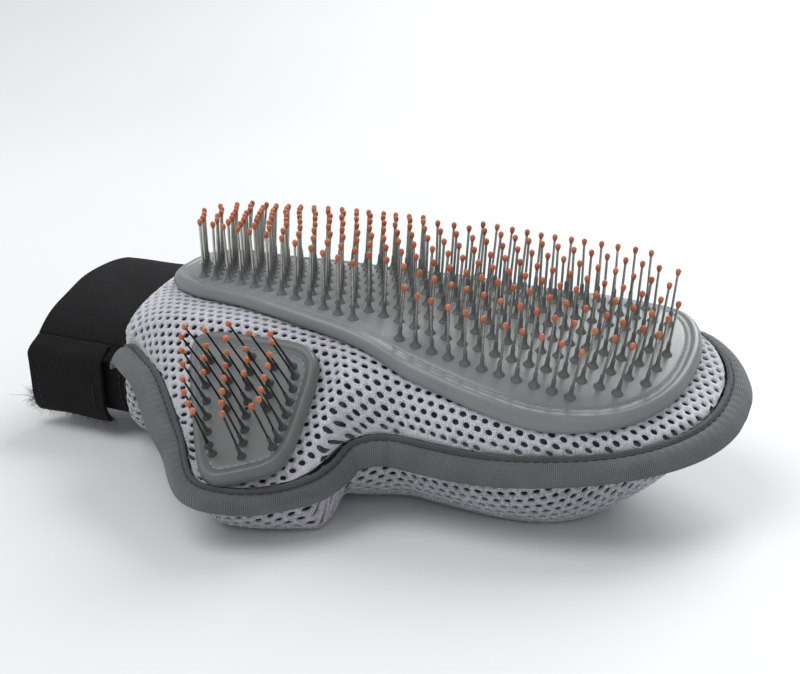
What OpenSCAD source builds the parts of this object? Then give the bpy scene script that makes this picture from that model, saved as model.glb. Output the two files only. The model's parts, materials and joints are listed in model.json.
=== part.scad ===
// Grooming mitt with a pinned rubber palm pad, a pinned thumb pad and a wrist strap.
// It lies on its back, pins up: x runs from the wrist to the fingertips, the thumb is at -y.

/* [Body] */
// Length of the body from the cuff rim to the fingertip seam
body_len = 212; // [170:1:260]
// Half width of the body at the knuckles, centre to seam
body_half_w = 47; // [38:0.5:57]
// Height of the palm fabric above the table at its crown
body_h = 57.5; // [46:0.5:70]
// Thickness of the spacer mesh
mesh_t = 2.4; // [1.6:0.1:3]
// Length of the rounded fingertip end
tip_round = 72; // [60:1:90]

/* [Thumb] */
// Distance of the thumb's middle from the cuff rim
thumb_x = 80; // [76:1:90]
// Distance of the thumb's root crease from the body's centre line
root_y = 40.5; // [39:0.5:42]
// How far the thumb seam reaches past the crease
thumb_len = 48; // [42:1:60]
// Width of the thumb across its middle
thumb_w = 50; // [44:1:58]
// Lean of the thumb towards the fingers in degrees
thumb_lean = 27; // [20:1:32]
// Swell of the body where the thumb grows out of it
root_swell = 15; // [12:0.5:18]

/* [Edge tape] */
// Width of the folded tape
tape_w = 10.5; // [8:0.5:13]
// Thickness of the tape
tape_t = 0.8; // [0.5:0.1:1.2]
// Thickness of each fabric edge inside the tape
edge_t = 1.4; // [1:0.1:1.8]

/* [Palm pad] */
// Distance of the pad's wrist end from the cuff rim
pad_x = 14; // [10:1:20]
// Length of the palm pad
pad_len = 189; // [150:1:200]
// Half width of the palm pad at the knuckles
pad_half_w = 43; // [34:0.5:45]
// Half width of the palm pad at the wrist
pad_wrist_half_w = 25; // [20:0.5:30]
// Thickness of the rubber where the pins stand
pad_t = 2.6; // [2:0.1:4]
// Height of the rim bead above the rubber
bead_h = 1; // [0.5:0.1:1.5]
// Thickness of the felt sheet that holds the pin heads
felt_t = 1; // [0.8:0.1:1.6]

/* [Pins] */
// Spacing of the pins along the mitt
pin_pitch = 5.6; // [5:0.1:8]
// Number of pin rows across the palm pad
pin_rows = 8; // [5:1:9]
// Height of the pins above the rubber, tip included
pin_h = 21; // [15:0.5:26]
// Diameter of the pin wire
pin_d = 0.9; // [0.6:0.05:1.2]
// Diameter of the moulded tip
pin_tip_d = 2; // [1.6:0.1:2.6]
// Diameter of the pin head
pin_head_d = 2.6; // [2:0.1:3.2]

/* [Thumb pad] */
// Number of pins down the thumb pad's long columns
thumb_rows = 8; // [5:1:9]
// Number of pin columns on the thumb pad
thumb_cols = 5; // [3:2:7]

/* [Wrist strap] */
// Width of the elastic
strap_w = 42; // [36:1:50]
// Thickness of the elastic
strap_t = 1.6; // [1.2:0.1:2.2]
// Length of the strap that lies inside the cuff
strap_in = 6; // [5:0.5:8]
// Thickness of each hook or loop patch
patch_t = 0.9; // [0.7:0.1:1.3]

/* [Hidden] */
$fn = 24;
// Running gap between soft pieces
gap = 0.3;
// Gap where the thumb's fabric meets the body's
split = 1;
// Thread thickness
thread_d = 0.8;
// Depth of the hem between a pad's rim and its stitches
stitch_in = 5;
// Clear rubber between a pad's rim and its outer pins
pin_in = 9;

// ---- curves ----

// Smooth curve through the keys [[x, y], ...]
function slope(k, i) = i == 0 ? (k[1][1] - k[0][1]) / (k[1][0] - k[0][0])
  : i == len(k) - 1 ? (k[i][1] - k[i-1][1]) / (k[i][0] - k[i-1][0])
  : (k[i+1][1] - k[i-1][1]) / (k[i+1][0] - k[i-1][0]);
function span_at(k, x, i = 0) = i >= len(k) - 2 || x < k[i+1][0] ? i : span_at(k, x, i + 1);
function hermite(a, b, ma, mb, d, t) = (2*t*t*t - 3*t*t + 1) * a + (t*t*t - 2*t*t + t) * d * ma
  + (3*t*t - 2*t*t*t) * b + (t*t*t - t*t) * d * mb;
function keyed_in(k, x, i) = hermite(k[i][1], k[i+1][1], slope(k, i), slope(k, i + 1),
  k[i+1][0] - k[i][0], (x - k[i][0]) / (k[i+1][0] - k[i][0]));
function keyed(k, x) = keyed_in(k, x, span_at(k, x));
function ease(a, b, x) = let (t = min(1, max(0, (x - a) / (b - a)))) t * t * (3 - 2*t);
function mix(a, b, t) = a + (b - a) * t;
function round_end(t, p) = pow(max(0, 1 - pow(min(1, max(0, t)), p)), 1 / p);
function spow(v, p) = sign(v) * pow(abs(v), p);
// Catmull-Rom curve through points of any dimension
function bend_at(p, i, t) = let (a = p[max(0, i-1)], b = p[i], c = p[i+1], d = p[min(len(p)-1, i+2)])
  0.5 * (2*b + (c - a)*t + (2*a - 5*b + 4*c - d)*t*t + (3*b - a - 3*c + d)*t*t*t);
function smooth_path(p, n) = [for (i = [0:len(p)-2]) for (j = [0:n-1]) bend_at(p, i, j / n), p[len(p)-1]];

// ---- body shape, in the mitt's own frame: x from the cuff rim, z from the table ----

long = body_len / 212;
tall = body_h / 57.5;
tip_x = body_len - tip_round;
top_power = 3;
cuff_power = 1.6;
wrist_power = 3.8;
belly_power = 2.4;
// Along the body: height of the side seams, sideways tilt, palm rise, belly drop
seam_keys = [[0, 45], [18, 43.5], [40, 37.5], [62, 35], [90, 33.5], [112, 33.3], [142, 34.5],
  [172, 37.3], [196, 39.5], [212, 39.5]];
tilt_keys = [[0, 14], [9, 9], [20, 2.5], [34, 0], [62, 0], [90, 2], [112, 4.5], [142, 7.5], [172, 12], [196, 17], [212, 17]];
rise_keys = [[0, 8.5], [8, 11], [18, 14.5], [40, 20.5], [62, 23.5], [90, 24], [112, 23.3], [142, 18.5],
  [172, 12.5], [196, 7], [212, 5]];
drop_keys = [[0, 36], [18, 40.5], [40, 39], [62, 36.5], [90, 35], [112, 35], [142, 36.5],
  [172, 38], [196, 29], [212, 20]];
width_keys = [[0, 0.79], [18, 0.82], [40, 0.88], [70, 0.94], [110, 0.98], [140, 1], [212, 1]];

function end_w(x) = round_end((x - tip_x) / tip_round, 2.2);
function end_h(x) = round_end((x - tip_x) / tip_round, 3);
function seam_z(x) = tall * keyed(seam_keys, x / long);
function tilt(x) = keyed(tilt_keys, x / long);
function rise(x) = tall * keyed(rise_keys, x / long) * end_h(x);
function drop(x) = tall * keyed(drop_keys, x / long) * end_h(x);
// The section is boxier at the wrist than over the knuckles
function belly_p(x) = mix(wrist_power, belly_power, ease(0, 60 * long, x));
function top_p(x) = mix(cuff_power, top_power, ease(2, 20 * long, x));
function mid_y(x) = 5 * ease(tip_x, body_len, x);
function half_w(x) = body_half_w * keyed(width_keys, x / long) * end_w(x);
function swell(x) = root_swell * ease(thumb_x - 70, thumb_x - 34, x) * (1 - ease(thumb_x + 18, thumb_x + 44, x));
function side_w(x, s) = half_w(x) + (s < 0 ? swell(x) : 0);
// Point at u across and n up from the seam line: the palm side leans with the tilt, the belly hangs
function place(x, u, n) = let (a = tilt(x), k = n > 0 ? sin(a) : 0) [x, mid_y(x) + u*cos(a) - n*k,
  max(0, seam_z(x) + u*sin(a) + n*sqrt(1 - k*k))];
// Skin at angle a: 0 back seam, 90 palm crown, 180 front seam, 270 belly; inset t
function skin(x, a, t) = let (s = sign(cos(a)), w = max(0.3, side_w(x, s) - t),
  h = a <= 180 ? max(0.3, rise(x) - t) : max(0.3, drop(x) - t), p = a <= 180 ? top_p(x) : belly_p(x),
  q = place(x, w * spow(cos(a), 2 / p), h * spow(sin(a), 2 / p))) [q[0], q[1], max(q[2], t)];
// Palm skin at v across the section, h above it
function palm_at(x, v, h) = let (w = side_w(x, v)) place(x, v, rise(x) * round_end(abs(v) / w, top_p(x)) + h);

// ---- seam line and its edge tape ----

// The seam runs wrist, thumb, crotch, fingertips, back; each point is [x, y, z, tape droop]
droop_keys = [[0, 66], [10, 48], [18, 22], [40, 15], [116, 50], [150, 50], [190, 28], [212, 35]];
function seam_pt(x, s) = concat(place(x, s * side_w(x, s), 0),
  [s < 0 ? keyed(droop_keys, x / long) : 32]);
root_in = thumb_x - 61;
root_out = thumb_x + 37;
// Thumb seam as [along the thumb, across it, height, tape droop]
thumb_rim = [[11, -36, 31, 15], [23.5, -31.5, 27, 24], [38.5, -26.5, 20, 40], [43.5, -17, 18.5, 60],
  [43.5, -5, 18.5, 72], [41, 5, 20, 78], [34, 13, 23.5, 78], [25.5, 19.5, 27, 58]];
function thumb_pt(k) = let (p = k[0] * thumb_len / 48, q = k[1] * thumb_w / 50)
  [thumb_x + p*sin(thumb_lean) + q*cos(thumb_lean), -root_y - p*cos(thumb_lean) + q*sin(thumb_lean),
  k[2] * tall, k[3]];
wrist_seam = [for (i = [0:4]) seam_pt(root_in * i / 4 - (i == 4 ? split : 0), -1)];
thumb_seam = smooth_path(concat([seam_pt(root_in, -1), seam_pt(root_in + 10, -1), seam_pt(root_in + 20, -1)],
  [for (k = thumb_rim) thumb_pt(k)], [seam_pt(root_out - 1.5, -1)]), 3);
front_x = [for (i = [0:16]) mix(root_out, body_len - 0.5, sin(90 * i / 16))];
finger_seam = concat([for (x = front_x) seam_pt(x, -1)], [concat(place(body_len, 0, 0), [35])],
  [for (i = [0:30]) seam_pt(mix(body_len - 0.5, 0, 1 - cos(90 * i / 30)), 1)]);
// Two tape ends that meet share one heading
function heading(p, i) = let (late = i == thumb_from || i == finger_from,
  early = i == thumb_from - 1 || i == finger_from - 1,
  a = p[max(0, i - (late ? 2 : 1))], b = p[min(len(p)-1, i + (early ? 2 : 1))], d = [b[0]-a[0], b[1]-a[1]])
  d / norm(d);
// Point f out along the tape and n above its middle
function tape_pt(s, d, f, n) = [s[0] + d[1] * (f*cos(s[3]) + n*sin(s[3])),
  s[1] - d[0] * (f*cos(s[3]) + n*sin(s[3])), s[2] - f*sin(s[3]) + n*cos(s[3])];
flange = tape_w - tape_t - gap;
slot = edge_t + 0.1 + gap;
tape_in = 1.2;
tape_section = [[tape_in, slot + tape_t], [tape_w - tape_t, slot + tape_t], [tape_w, slot], [tape_w, -slot],
  [tape_w - tape_t, -slot - tape_t], [tape_in, -slot - tape_t], [tape_in, -slot], [tape_w - tape_t, -slot],
  [tape_w - tape_t, slot], [tape_in, slot]];
thread_f = tape_in + 1.4;
thread_n = slot + tape_t + 0.05 + thread_d / 2;
thread_section = [for (a = [0:60:300]) [thread_f + thread_d/2 * cos(a), thread_n + thread_d/2 * sin(a)]];
seam = concat(wrist_seam, thumb_seam, finger_seam);
thumb_from = len(wrist_seam);
finger_from = thumb_from + len(thumb_seam);
wrist_part = [0, thumb_from - 1];
finger_part = [finger_from, len(seam) - 1];
function along_seam(part, section) = [for (i = [part[0]:part[1]]) let (d = heading(seam, i))
  [for (q = section) tape_pt(seam[i], d, q[0], q[1])]];

// ---- meshes ----

function flat(rows) = [for (r = rows) for (p = r) p];
function quad(a, b, c, d) = [[a, b, c], [a, c, d]];
// Closed tube through rings of equal size, with flat ends
module tube(rings) {
  n = len(rings);
  m = len(rings[0]);
  polyhedron(points = flat(rings), faces = concat(
    [for (i = [0:n-2]) for (j = [0:m-1]) for (f = quad(i*m + j, i*m + (j+1) % m, (i+1)*m + (j+1) % m,
      (i+1)*m + j)) f],
    [[for (j = [m-1:-1:0]) j]], [[for (j = [0:m-1]) (n-1)*m + j]]));
}
// Ring that closes on itself
module loop_tube(rings) {
  n = len(rings);
  m = len(rings[0]);
  polyhedron(points = flat(rings), faces = [for (i = [0:n-1]) for (j = [0:m-1])
    for (f = quad(i*m + j, i*m + (j+1) % m, ((i+1) % n)*m + (j+1) % m, ((i+1) % n)*m + j)) f]);
}
// Closed sheet between two grids of points
module sheet(outer, inner) {
  n = len(outer);
  m = len(outer[0]);
  k = n * m;
  polyhedron(points = concat(flat(outer), flat(inner)), faces = concat(
    [for (i = [0:n-2]) for (j = [0:m-2]) for (f = quad(i*m + j, (i+1)*m + j, (i+1)*m + j+1, i*m + j+1)) f],
    [for (i = [0:n-2]) for (j = [0:m-2])
      for (f = quad(k + i*m + j, k + i*m + j+1, k + (i+1)*m + j+1, k + (i+1)*m + j)) f],
    [for (i = [0:n-2]) for (f = quad(i*m, k + i*m, k + (i+1)*m, (i+1)*m)) f],
    [for (i = [0:n-2]) for (f = quad(i*m + m-1, (i+1)*m + m-1, k + (i+1)*m + m-1, k + i*m + m-1)) f],
    [for (j = [0:m-2]) for (f = quad(j, j+1, k + j+1, k + j)) f],
    [for (j = [0:m-2]) for (f = quad((n-1)*m + j, k + (n-1)*m + j, k + (n-1)*m + j+1, (n-1)*m + j+1)) f]));
}

// ---- body fabric ----

stations = concat([for (i = [0:3]) (root_in - split) * i / 3],
  [for (i = [0:8]) mix(root_in + 0.1, root_out - 18, i / 8)],
  [for (i = [1:5]) mix(root_out - 18, root_out - 1.5, i / 5)],
  [for (i = [0:10]) mix(root_out, body_len - 0.5, sin(90 * i / 10))]);
// Angle where the fabric meets the thumb's crease, running out to the seam at the crotch
function crease_angle(x, p) = mix(acos(-pow(root_y / max(root_y + 0.2, side_w(x, -1)), p / 2)), 180,
  ease(root_out - 18, root_out - 1, x));
function is_open(x) = x > root_in && x < root_out - 1;
// One row of the palm side (top) or the belly side, from the back seam to the front
function body_row(x, top, inset) = let (
  b = seam_pt(x, 1), f = seam_pt(x, -1), e = 0.05, g = top ? 1 : -1,
  db = [-(side_w(x+e, 1) - side_w(x-e, 1)), 0] / (2*e), df = (side_w(x+e, -1) - side_w(x-e, -1)) / (2*e),
  hb = [-1, db[0]] / norm([1, db[0]]), hf = [1, -df] / norm([1, df]),
  n = g * (inset > 0 ? 0.1 : 0.1 + edge_t), near = 14,
  last = is_open(x) ? crease_angle(x, top ? top_p(x) : belly_p(x)) : 180 - near,
  turn = [for (i = [0:8]) mix(near, last, i / 8)],
  arc = [for (a = turn) skin(x, top ? a : 360 - a, inset)],
  back_edge = [tape_pt(b, hb, flange, n), tape_pt(b, hb, 0, n)],
  front_edge = is_open(x) ? [skin(x, top ? last : 360 - last, inset)]
    : [tape_pt(f, hf, 0, n), tape_pt(f, hf, flange, n)])
  is_open(x) ? concat(back_edge, [for (i = [0:10]) skin(x, top ? mix(near, last, i / 10)
    : 360 - mix(near, last, i / 10), inset)]) : concat(back_edge, arc, front_edge);

module palm_fabric() {
  color("#b9b9c0") sheet([for (x = stations) body_row(x, true, 0)],
    [for (x = stations) body_row(x, true, mesh_t)]);
}
module back_fabric() {
  color("#aeaeb6") sheet([for (x = stations) body_row(x, false, mesh_t)],
    [for (x = stations) body_row(x, false, 0)]);
}
module edge_binding() {
  color("#666a6d") {
    tube(along_seam(wrist_part, tape_section));
    tube(along_seam(finger_part, tape_section));
  }
}
module binding_stitching() {
  color("#44484b") {
    tube(along_seam(wrist_part, thread_section));
    tube(along_seam(finger_part, thread_section));
  }
}

// ---- thumb fabric ----

// Rows left out at the crotch, where the body's fabric already reaches the tape
crotch_rows = 4;
crease_n = len(thumb_seam) - 1 - crotch_rows;
// The gap to the body's fabric is wider where the crease runs slantwise to the crotch
function crease_pt(i, top) = let (x = mix(root_in + 0.8, root_out - 2, i / (crease_n + crotch_rows)),
  a = crease_angle(x, top ? top_p(x) : belly_p(x)), q = skin(x, top ? a : 360 - a, 0))
  [q[0], q[1] - split * (1 + 1.5 * ease(root_out - 27, root_out - 15, x)), q[2]];
crease_z = body_h - 3.5 * tall;
// Height of the thumb's palm side: steep at the crease, flatter towards the tip
function thumb_top(y) = let (d = max(0, -root_y - y)) crease_z - tall * (d - 0.0055 * d * d);
thumb_steps = [0, 0.15, 0.35, 0.55, 0.75, 0.9, 1];
// A point of the seam's hem: f out from the seam, n through its thickness
function hem_pt(i, f, n) = tape_pt(thumb_seam[i], heading(seam, thumb_from + i), f, n);
// The inner face's last point, level with the outer one and in from it on the back
function hem_in(i, top) = let (a = thumb_seam[i][3])
  top ? hem_pt(i, 0, 0.1) : hem_pt(i, -edge_t * cos(a), -0.1 - edge_t * (1 + sin(a)));
// One row of the thumb's outer face; where the row is short it runs straight
function thumb_row(t, top) = [for (i = [0:crease_n]) let (
  a = crease_pt(i, top), b = hem_pt(i, 0, (top ? 1 : -1) * (0.1 + edge_t)),
  x = mix(a[0], b[0], t), y = mix(a[1], b[1], t), wide = ease(3, 20, norm([b[0] - a[0], b[1] - a[1]])),
  mid = top ? thumb_top(y) + (a[2] - thumb_top(a[1])) * pow(1 - t, 2) : a[2] * pow(1 - t, 3),
  bent = mix(mid, b[2], pow(t, top ? 6 : 5))) [x, y, mix(mix(a[2], b[2], t), bent, wide)]];
function thumb_face(top) = [for (t = thumb_steps) thumb_row(t, top)];
// The inner face: the outer one moved in along its normals, thinner at the wrist and the crotch
function lining(g, top) = let (last = len(g) - 1) [for (j = [0:last]) [for (i = [0:crease_n]) let (
  v = cross(g[min(last, j + 1)][i] - g[max(0, j - 1)][i], g[j][min(crease_n, i + 1)] - g[j][max(0, i - 1)]),
  t = mesh_t * mix(0.35, 1, ease(0, 5, min(i, crease_n - i))), q = g[j][i] + (top ? -t : t) * v / norm(v))
  j == last ? hem_in(i, top) : [q[0], min(q[1], g[0][i][1] + split), q[2]]]];
function hem_row(n) = [for (i = [0:crease_n]) hem_pt(i, flange, n)];
module thumb_palm_fabric() {
  face = thumb_face(true);
  color("#b9b9c0") sheet(concat(face, [hem_row(0.1 + edge_t)]), concat(lining(face, true), [hem_row(0.1)]));
}
module thumb_back_fabric() {
  face = thumb_face(false);
  color("#aeaeb6") sheet(lining(face, false), face);
}
// The tape stops short of the crotch, clear of the fabric that stays with the hand
thumb_tape_part = [thumb_from, finger_from - 3];
module thumb_binding() {
  color("#666a6d") tube(along_seam(thumb_tape_part, tape_section));
}
module thumb_binding_stitching() {
  color("#44484b") tube(along_seam(thumb_tape_part, thread_section));
}

// ---- palm pad ----

wrist_round = 28;
finger_round = 45;
pad_width_keys = [[0, 0], [0.14, 0.2], [0.3, 0.5], [0.51, 0.75], [0.72, 1], [1, 1.03]];
function pad_half(x) = let (s = (x - pad_x) / pad_len)
  mix(pad_wrist_half_w, pad_half_w, keyed(pad_width_keys, s))
  * round_end(1 - (x - pad_x) / wrist_round, 2.3) * round_end(1 - (pad_x + pad_len - x) / finger_round, 2.3);
function pad_mid(x) = 3 * ease(pad_x + pad_len - 50, pad_x + pad_len, x);
// Point over the palm pad: x along, t across from -1 to 1, h above the fabric, inset from the rim
function pad_pt(s, t, h, inset) = let (
  x = mix(pad_x + inset, pad_x + pad_len - inset, (1 - cos(180 * s)) / 2),
  v = pad_mid(x) + t * max(0.4, pad_half(x) - inset)) palm_at(x, v, h);
felt_z = 0.5;
rubber_z = felt_z + felt_t + gap;
rubber_top = rubber_z + pad_t;
pad_ts = [-1, -0.94, -0.85, -0.6, -0.3, 0, 0.3, 0.6, 0.85, 0.94, 1];
pad_steps = 26;
function pad_rise(i, t) = abs(t) > 0.99 || i == 1 || i == pad_steps - 1 ? -0.9
  : abs(t) > 0.9 || i == 2 || i == pad_steps - 2 ? bead_h : 0;
module palm_pad() {
  color("#7d8080") sheet(
    [for (i = [1:pad_steps-1]) [for (t = pad_ts) pad_pt(i / pad_steps, t, rubber_top + pad_rise(i, t), 0)]],
    [for (i = [1:pad_steps-1]) [for (t = pad_ts) pad_pt(i / pad_steps, t, rubber_z, 0)]]);
}
felt_in = 2;
felt_ts = [-1, -0.8, -0.6, -0.3, 0, 0.3, 0.6, 0.8, 1];
module palm_pad_felt() {
  color("#4b4f52") sheet(
    [for (i = [1:21]) [for (t = felt_ts) pad_pt(i / 22, t, felt_z + felt_t, felt_in)]],
    [for (i = [1:21]) [for (t = felt_ts) pad_pt(i / 22, t, felt_z, felt_in)]]);
}
// Thread sunk beside the rim bead, as a closed ring
function ring_section(p, q, r) = let (d = q - p, u = d / norm(d), side = cross(u, [0, 0, 1]),
  o = side / norm(side), up = cross(o, u)) [for (a = [0:72:288]) p + r * (o * cos(a) + up * sin(a))];
stitch_h = rubber_top + thread_d / 4;
pad_stitch_line = concat([for (i = [1:23]) pad_pt(i / 24, -1, stitch_h, stitch_in)],
  [for (i = [23:-1:1]) pad_pt(i / 24, 1, stitch_h, stitch_in)]);
module thread_ring(line) {
  loop_tube([for (i = [0:len(line)-1]) ring_section(line[i], line[(i+1) % len(line)], thread_d / 2)]);
}
module palm_pad_stitching() {
  color("#9a9d9d") thread_ring(pad_stitch_line);
}

// ---- pins ----

fan_keys = [[0, 15.7], [0.5, 29.7], [1, 30.4]];
pin_x = 112;
column_lean = 0.55;
function pin_fan(x) = keyed(fan_keys, min(1, max(0, (x / long - 28) / 168)));
function pin_spot(r, c) = let (t = 2 * r / (pin_rows - 1) - 1, x0 = pin_x * long + c * pin_pitch,
  x = x0 - column_lean * t * pin_fan(x0)) [x, t * pin_fan(x) * pad_half_w / 43];
function pin_fits(p) = p[0] > pad_x + pin_in && p[0] < pad_x + pad_len - pin_in
  && abs(p[1] - pad_mid(p[0])) < pad_half(p[0]) - pin_in;
pin_spots = [for (r = [0:pin_rows-1]) for (c = [-22:24]) if (pin_fits(pin_spot(r, c))) pin_spot(r, c)];
function unit(v) = v / norm(v);
function palm_up(p) = unit(cross(palm_at(p[0] + 1, p[1], 0) - palm_at(p[0] - 1, p[1], 0),
  palm_at(p[0], p[1] + 1, 0) - palm_at(p[0], p[1] - 1, 0)));
module stand(at, up) {
  translate(at) rotate([0, acos(up[2]), atan2(up[1], up[0])]) children();
}
head_t = 0.5;
tip_len = 2.5;
tip_hold = 1.2;
wire_len = rubber_top - felt_z + pin_h - tip_len + tip_hold;
module pin() {
  rotate_extrude() polygon([[0, 0], [pin_head_d/2, 0], [pin_head_d/2, head_t], [pin_d/2, head_t],
    [pin_d/2, wire_len], [0, wire_len]]);
}
// Egg-shaped tip moulded on the end of the wire
module pin_tip() {
  r = pin_tip_d / 2;
  rotate_extrude() polygon([[0, 0], [0.45*r, 0], [0.85*r, 0.8], [r, 1.5], [0.8*r, 2.1], [0.4*r, tip_len],
    [0, tip_len]]);
}
tip_base = wire_len - tip_hold;
module palm_pins() {
  color("#a9adb0") for (p = pin_spots) stand(palm_at(p[0], p[1], felt_z), palm_up(p)) pin();
}
module palm_pin_tips() {
  color("#d0744c") for (p = pin_spots) stand(palm_at(p[0], p[1], felt_z), palm_up(p))
    translate([0, 0, tip_base]) pin_tip();
}

// ---- thumb pad ----

// Corners of the thumb pad in plan: crease side first, then the thumb's tip
function on_thumb(p, q) = let (k = thumb_pt([p, q, 0, 0])) [k[0], k[1]];
pad_corner = [[thumb_x - 35, -root_y - 3.5], [thumb_x + 17, -root_y - 2.5], on_thumb(44, 2), on_thumb(44, -24)];
pad_square = 5;
function rounded(a, b) = let (m = max(abs(a), abs(b)))
  m < 0.001 ? 1 : m / pow(pow(abs(a), pad_square) + pow(abs(b), pad_square), 1 / pad_square);
function thumb_plan(a, b, inset) = let (f = rounded(a, b), k = 1 - inset / 24, s = (a*f*k + 1) / 2, t = (b*f*k + 1) / 2)
  mix(mix(pad_corner[0], pad_corner[1], s), mix(pad_corner[3], pad_corner[2], s), t);
function thumb_slope(y) = atan(tall * (1 - 0.011 * max(0, -root_y - y)));
thumb_lift = 1.2;
function thumb_on(a, b, h, inset) = let (p = thumb_plan(a, b, inset), g = thumb_slope(p[1]))
  [p[0], p[1] - (h + thumb_lift) * sin(g), thumb_top(p[1]) + (h + thumb_lift) * cos(g)];
thumb_as = [-1, -0.92, -0.8, -0.4, 0, 0.4, 0.8, 0.92, 1];
function thumb_rise(a, b) = max(abs(a), abs(b)) > 0.99 ? -0.8 : max(abs(a), abs(b)) > 0.9 ? bead_h : 0;
module thumb_pad() {
  color("#6f7272") sheet(
    [for (a = thumb_as) [for (b = -thumb_as) thumb_on(a, b, rubber_top + thumb_rise(a, b), 0)]],
    [for (a = thumb_as) [for (b = -thumb_as) thumb_on(a, b, rubber_z, 0)]]);
}
module thumb_pad_felt() {
  steps = [-1, -0.5, 0, 0.5, 1];
  color("#4b4f52") sheet([for (a = steps) [for (b = -steps) thumb_on(a, b, felt_z + felt_t, 2)]],
    [for (a = steps) [for (b = -steps) thumb_on(a, b, felt_z, 2)]]);
}
function box_walk(i, n) = let (k = 4 * i / n, s = floor(k), t = 2 * (k - s) - 1)
  s == 0 ? [t, -1] : s == 1 ? [1, t] : s == 2 ? [-t, 1] : [-1, -t];
module thumb_pad_stitching() {
  color("#b4b6b4") thread_ring([for (i = [0:31]) let (w = box_walk(i, 32))
    thumb_on(w[0], w[1], stitch_h, stitch_in - 1.5)]);
}
// Long columns alternate with short ones that fill the upper half
thumb_spots = [for (c = [0:thumb_cols-1]) for (r = [0:thumb_rows-1]) let (a = mix(-0.8, 0.82, c / (thumb_cols-1)),
  b = mix(-0.8, 0.8, (r + (c % 2) / 2) / (thumb_rows-1))) if (c % 2 == 0 || r < thumb_rows / 2) [a, b]];
thumb_pin_in = 2.5;
module thumb_stand(s) {
  at = thumb_on(s[0], s[1], felt_z, thumb_pin_in);
  stand(at, unit(thumb_on(s[0], s[1], felt_z + 1, thumb_pin_in) - at)) children();
}
module thumb_pins() {
  color("#8d9194") for (s = thumb_spots) thumb_stand(s) pin();
}
module thumb_pin_tips() {
  color("#d0744c") for (s = thumb_spots) thumb_stand(s) translate([0, 0, tip_base]) pin_tip();
}

// ---- wrist strap ----

// Outer face of the strap's loop at angle a, o outside it, as [y, z]: leaning like the cuff
loop_z = 37.5 * tall;
loop_rise = 12.5 * tall;
loop_drop = 24.5 * tall;
loop_w = half_w(0) - mesh_t - 1;
loop_tilt = 16;
function loop_pt(a, o) = let (up = sin(a) >= 0, p = up ? 2 : wrist_power, u = (loop_w + o) * spow(cos(a), 2 / p),
  n = ((up ? loop_rise : loop_drop) + o) * spow(sin(a), 2 / p))
  [u * cos(loop_tilt) - max(0, n) * sin(loop_tilt), loop_z + u * sin(loop_tilt) + n];
fold = 150;
tab_end = 219;
lap = 176;
stack = 2 * patch_t + 2 * gap + strap_t;
function tab_off(a) = stack * ease(fold, fold + 22, a);
strap_x = strap_in - strap_w;
tab_w = strap_w - strap_in - 2.5;
// The loop starts at the fold, runs over the top and the back, and laps up under the tab
module wrist_strap() {
  color("#1d1d1f") translate([strap_x, 0, 0]) rotate([90, 0, 90]) linear_extrude(strap_w) polygon(concat(
    [for (i = [0:56]) loop_pt(mix(fold, lap - 360, i / 56), 0)],
    [for (i = [56:-1:0]) loop_pt(mix(fold, lap - 360, i / 56), -strap_t)]));
}
// Free end, folded down over the patches
module strap_tab() {
  tab_a = [for (i = [0:14]) mix(fold + 1.5, tab_end, i / 14)];
  color("#232326") translate([strap_x, 0, 0]) rotate([90, 0, 90]) linear_extrude(tab_w) polygon(concat(
    [for (a = tab_a) loop_pt(a, tab_off(a))],
    [for (i = [14:-1:0]) loop_pt(tab_a[i], tab_off(tab_a[i]) - strap_t)]));
}
module band(a, b, lo, hi, x, w) {
  translate([x, 0, 0]) rotate([90, 0, 90]) linear_extrude(w) polygon(concat(
    [for (i = [0:8]) loop_pt(mix(a, b, i / 8), hi)], [for (i = [8:-1:0]) loop_pt(mix(a, b, i / 8), lo)]));
}
patch_in = 3;
patch_w = tab_w - 2 * patch_in;
patch_a = 180;
patch_b = 214;
module loop_patch() {
  color("#3a3b3e") band(patch_a, patch_b, gap / 3, gap / 3 + patch_t, strap_x + patch_in, patch_w);
}
module hook_patch() {
  color("#77797c") band(patch_a, patch_b, stack - strap_t - gap / 3 - patch_t, stack - strap_t - gap / 3,
    strap_x + patch_in, patch_w);
}
row_w = 0.6;
module strap_stitching() {
  color("#2b2b2e") for (x = [strap_in - 3, strap_in - 9]) translate([x, 0, 0]) rotate([90, 0, 90])
    linear_extrude(row_w) polygon(concat([for (i = [0:56]) loop_pt(mix(fold, lap - 360, i / 56), -strap_t)],
      [for (i = [56:-1:0]) loop_pt(mix(fold, lap - 360, i / 56), -strap_t - row_w)]));
}
module patch_rows(lo) {
  for (x = [strap_x + patch_in + 1, strap_x + patch_in + patch_w - 1 - row_w])
    band(patch_a + 2, patch_b - 2, lo, lo + row_w / 2, x, row_w);
}
module loop_patch_stitching() {
  color("#2b2b2e") patch_rows(gap / 2 + patch_t);
}
module hook_patch_stitching() {
  color("#2b2b2e") patch_rows(stack + gap / 6);
}

// ---- placing: the origin is the middle of the whole mitt's footprint ----

tape_edge = flat(along_seam([0, len(seam) - 1], tape_section));
x_all = concat([strap_x], [for (p = tape_edge) p[0]]);
y_all = [for (p = tape_edge) p[1]];
centre = [(min(x_all) + max(x_all)) / 2, (min(y_all) + max(y_all)) / 2, 0];
module placed() {
  translate(-centre) children();
}

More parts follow.
